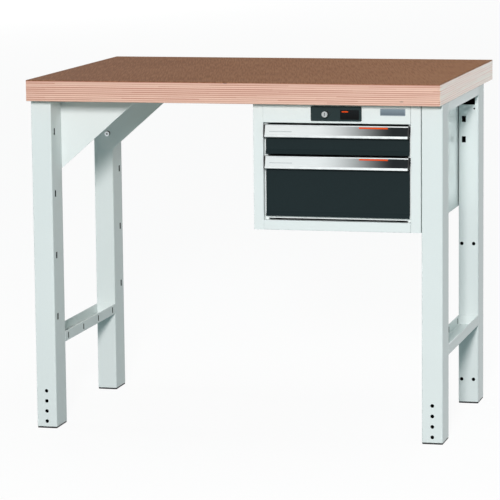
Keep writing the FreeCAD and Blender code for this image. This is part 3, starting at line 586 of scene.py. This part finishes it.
# %% Finishes on the solids
SPECIAL = {"upper_label": "upper_print", "lower_label": "lower_print", "lock_plate": "plate_paint",
           "cabinet_leg_bolts": "black_oxide"}
SPECIAL.update({node: "leg_paint" for node in NODES if node.endswith("_leg")})
SPECIAL.update({node: "rail_paint" for node in NODES if node.endswith("_lower_rail")})
for row in frame["record"]["subparts"]:
    node = row["node"]
    finish = FINISHES[SPECIAL.get(node, row["material_slot"])]
    NODES[node].data.materials.clear()
    NODES[node].data.materials.append(finish)

# %% [markdown]
# ## The badge on the lock plate
#
# Beside the lock sits a thin dark badge with rounded corners and a small orange bar. It could be painted
# on the plate, but a real badge has an edge that catches light. It is too thin to matter to the solids,
# so it is made here: a flat box whose four short edges are bevelled round.

# %% Lock badge
PLATE_LOW, PLATE_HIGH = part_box("lock_plate")
BADGE_SIZE = Vector((0.045, 0.0004, 0.023))
BADGE_FROM_RIGHT = 0.0055
BADGE_FROM_BELOW = 0.004
BADGE_CORNER = 0.002
CORNER_STEPS = 5
SAME_PLACE = 1e-5
BADGE_HIGH = Vector((PLATE_HIGH.x - BADGE_FROM_RIGHT, PLATE_LOW.y,
                     PLATE_LOW.z + BADGE_FROM_BELOW + BADGE_SIZE.z))
BADGE_LOW = BADGE_HIGH - BADGE_SIZE
BADGE_BLACK, BADGE_GREY = seen(8, 10, 11), seen(20, 24, 26)
BADGE_BAR = (0.08, 0.42), (0.74, 0.86)
BADGE_GRAIN = 800


def new_piece(name, shape, finish, body):
    """Puts a finished bmesh into the scene and lets it ride on a body."""
    mesh = bpy.data.meshes.new(name)
    shape.to_mesh(mesh)
    shape.free()
    mesh.materials.append(FINISHES[finish])
    piece = add_object(name, mesh)
    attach(piece, body)
    print(f"{name}: {len(mesh.polygons)} faces")


def badge_print():
    shader, place = start_finish("badge_print", {"Specular IOR Level": 0.08})
    along, up = across(place, BADGE_LOW, BADGE_HIGH)
    fine = place.noise(BADGE_GRAIN)
    field = (up + fine * 0.1).steps(0.0, 1.1).mix(BADGE_BLACK, BADGE_GREY)
    barred = patch(along, up, BADGE_BAR).mix(field, ORANGE)
    feed(shader, {"Base Color": barred, "Roughness": 0.24 + fine * 0.08})


def lock_badge():
    badge = bmesh.new()
    bmesh.ops.create_cube(badge, size=1.0)
    bmesh.ops.scale(badge, vec=BADGE_SIZE, verts=badge.verts)
    bmesh.ops.translate(badge, vec=(BADGE_LOW + BADGE_HIGH) / 2, verts=badge.verts)
    corners = [edge for edge in badge.edges
               if abs(edge.verts[0].co.y - edge.verts[1].co.y) > SAME_PLACE]
    bmesh.ops.bevel(badge, geom=corners, offset=BADGE_CORNER, offset_type="OFFSET", affect="EDGES",
                    segments=CORNER_STEPS, profile=0.5, material=-1)
    bmesh.ops.recalc_face_normals(badge, faces=badge.faces)
    new_piece("lock_badge", badge, "badge_print", "bench")


badge_print()
lock_badge()

# %% [markdown]
# ## Bolts in roomy holes
#
# Two bolts hold each gusset to its leg. Their holes are roomy, so that the frame can be squared up
# before the bolts are tightened, and a rim of hole shows beside each head, dark with shade. The heads have
# hexagon sockets, shaded inside. Cutting both would change the solids, so they are thin discs of painted
# shade: a black one on the plate for the dark hole and a grey one in the crown for the shaded socket. The
# box round all bolts and nuts tells where the bolts are, because it ends at the nuts, whose corners point
# sideways.

# %% Gusset bolts
GUSSET_SHEET = 0.0025
HEAD_HEIGHT = 0.004
RIM_RADIUS = 0.0068
RIM_SHIFT = 0.0013
RIM_THICKNESS = 0.0004
SOCKET_RADIUS = 0.0029
SOCKET_THICKNESS = 0.0008
SOCKET_PROUD = 0.00008
HEXAGON = 6
ROUND = 40
BOLTS_LOW, BOLTS_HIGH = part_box("gusset_fasteners")
NUT_HALF = (BOLTS_HIGH.x - BOLTS_LOW.x) / 2 * math.cos(math.pi / HEXAGON)
BOLT_ACROSS = (BOLTS_LOW.x + BOLTS_HIGH.x) / 2
BOLT_LEVELS = BOLTS_LOW.z + NUT_HALF, BOLTS_HIGH.z - NUT_HALF
# Where each gusset's inner face lies along Y, and which way it looks
GUSSET_FACES = {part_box("left_front_gusset")[0].y + GUSSET_SHEET: 1,
                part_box("left_rear_gusset")[1].y - GUSSET_SHEET: -1}


def disc(shape, centre, radius, thickness, sides):
    """A flat disc square to Y."""
    place = Matrix.Translation(centre) @ Matrix.Rotation(math.pi / 2, 4, "X")
    bmesh.ops.create_cone(shape, cap_ends=True, segments=sides, radius1=radius, radius2=radius,
                          depth=thickness, matrix=place)


def gusset_bolt_details():
    hole_shade_discs = bmesh.new()
    sockets = bmesh.new()
    for face, outward in GUSSET_FACES.items():
        crown = face + outward * (HEAD_HEIGHT + SOCKET_PROUD - SOCKET_THICKNESS / 2)
        for level in BOLT_LEVELS:
            # A black disc is painted shade for the dark hole beside each head, and a grey one for the
            # shaded socket
            shifted = BOLT_ACROSS + RIM_SHIFT, face, level + RIM_SHIFT
            disc(hole_shade_discs, shifted, RIM_RADIUS, RIM_THICKNESS, ROUND)
            disc(sockets, (BOLT_ACROSS, crown, level), SOCKET_RADIUS, SOCKET_THICKNESS, HEXAGON)
    new_piece("gusset_hole_shade_discs", hole_shade_discs, "black_plastic", "bench")
    new_piece("gusset_bolt_socket_shade", sockets, "socket_shade_steel", "bench")


gusset_bolt_details()

# %% [markdown]
# ## The surroundings
#
# The bench stands on a white floor before a white wall that never ends. Walls with lamps on them could
# be built, but a world that is white to the eye and to shiny surfaces does the same. To all other rays it
# is a weak, cool light that fills the shadows.

# %% Surroundings
WHITE = (1, 1, 1, 1)
SURROUND_LIGHT = 0.29
SURROUND_TINT = (0.82, 1.0, 1.0, 1)


def seen_white(tree):
    """1 for what the camera, a shiny surface or a clear one sees directly."""
    camera_ray, glossy_ray, clear_ray = (
        Wire(tree).node("LightPath", output=name)
        for name in ("Is Camera Ray", "Is Glossy Ray", "Is Transmission Ray"))
    return camera_ray.math("MAXIMUM", glossy_ray).math("MAXIMUM", clear_ray)


world = bpy.data.worlds.new("surroundings")
world.use_nodes = True
bpy.context.scene.world = world
direct = seen_white(world.node_tree)
feed(world.node_tree.nodes["Background"], {
    "Color": direct.mix(SURROUND_TINT, WHITE),
    "Strength": direct * (1 - SURROUND_LIGHT) + SURROUND_LIGHT,
})
print(f"surroundings light the bench at {SURROUND_LIGHT}")

# %% [markdown]
# ## The floor
#
# A plain white floor would throw too much light up at the bench. To the camera this one is mostly a white
# glow, with enough matt paint left in it to hold the bench's shadow. The light that it throws back is
# that of a darker, cooler paint.

# %% Floor
FLOOR_HALF = 30
FLOOR_GLOW = 0.92
FLOOR_BOUNCE = (0.27, 0.36, 0.37, 1)

floor_shape = bmesh.new()
bmesh.ops.create_grid(floor_shape, x_segments=1, y_segments=1, size=FLOOR_HALF)
floor_mesh = bpy.data.meshes.new("floor")
floor_shape.to_mesh(floor_mesh)
floor_shape.free()
floor = add_object("floor", floor_mesh)

floor_paint = bpy.data.materials.new("floor_paint")
floor_paint.use_nodes = True
floor_paint.node_tree.nodes.clear()
direct = seen_white(floor_paint.node_tree)
matt = direct.node("BsdfDiffuse", None, {"Color": direct.mix(FLOOR_BOUNCE, WHITE)})
glow = direct.node("Emission", None, {"Color": WHITE, "Strength": 1.0})
surface = direct.node("MixShader", None, {0: direct * FLOOR_GLOW, 1: matt, 2: glow})
feed(floor_paint.node_tree.nodes.new("ShaderNodeOutputMaterial"), {"Surface": surface})
floor_mesh.materials.append(floor_paint)
print(f"floor {floor.dimensions.x:.0f} m wide")

# %% [markdown]
# ## The lamps
#
# Most of the light comes from a lamp in front, higher than the camera and a little to the right, so the
# worktop throws a short shadow on what is under it. A soft lamp overhead lights the top, and weaker ones
# far behind and on the left keep these sides from going dull. The cabinet's right side stands in the
# shade of the legs and the worktop. More light all round would bleach the rest, so a narrow beam from the
# right reaches it between the legs.

# %% Lamps
PLAIN = (1.0, 1.0, 1.0)
WARM = (1.0, 0.97, 0.96)
ROSY = (1.0, 0.945, 0.945)


def lamp(name, place, aim, size, level, tint, spread=None):
    """A soft lamp, or a beam where it has a spread, that lights a pale wall at the given level."""
    data = bpy.data.lights.new(name, "AREA")
    data.shape = "RECTANGLE"
    data.size, data.size_y = size
    data.color = tint
    away = Vector(place) - Vector(aim)
    if spread:
        data.spread = math.radians(spread)
        data.energy = level * math.pi * data.size * data.size_y
    else:
        data.energy = level * (math.pi * away.length) ** 2
    lamp_turn = away.to_track_quat("Z", "Y").to_matrix().to_4x4()
    made = add_object(name, data)
    made.matrix_world = Matrix.Translation(place) @ lamp_turn
    print(f"{name}: {data.energy:.2f} W")


lamp("front_lamp", place=(1.35, -7.75, 2.75), aim=(0.0, -0.3, 0.7), size=(0.8, 1.2), level=0.80, tint=ROSY)
lamp("top_lamp", place=(0.9, 0.6, 3.6), aim=(0.1, 0.2, 0.85), size=(2.4, 1.6), level=0.37, tint=PLAIN)
lamp("rear_lamp", place=(-11.0, 19.0, 1.6), aim=(0.0, 0.3, 0.6), size=(6.0, 2.0), level=0.42, tint=WARM)
lamp("left_lamp", place=(-14.0, 1.0, 2.2), aim=(-0.4, 0.0, 0.5), size=(5.0, 2.0), level=0.32, tint=WARM)
lamp("side_lamp", place=(3.0, -0.05, 0.66), aim=(0.45, -0.05, 0.645), size=(0.37, 0.25), level=0.48,
     tint=PLAIN, spread=1.5)

# %% [markdown]
# ## The view
#
# The picture uses Blender's Standard view transform.

# %% View transform
scene = bpy.context.scene
scene.view_settings.view_transform = "Standard"
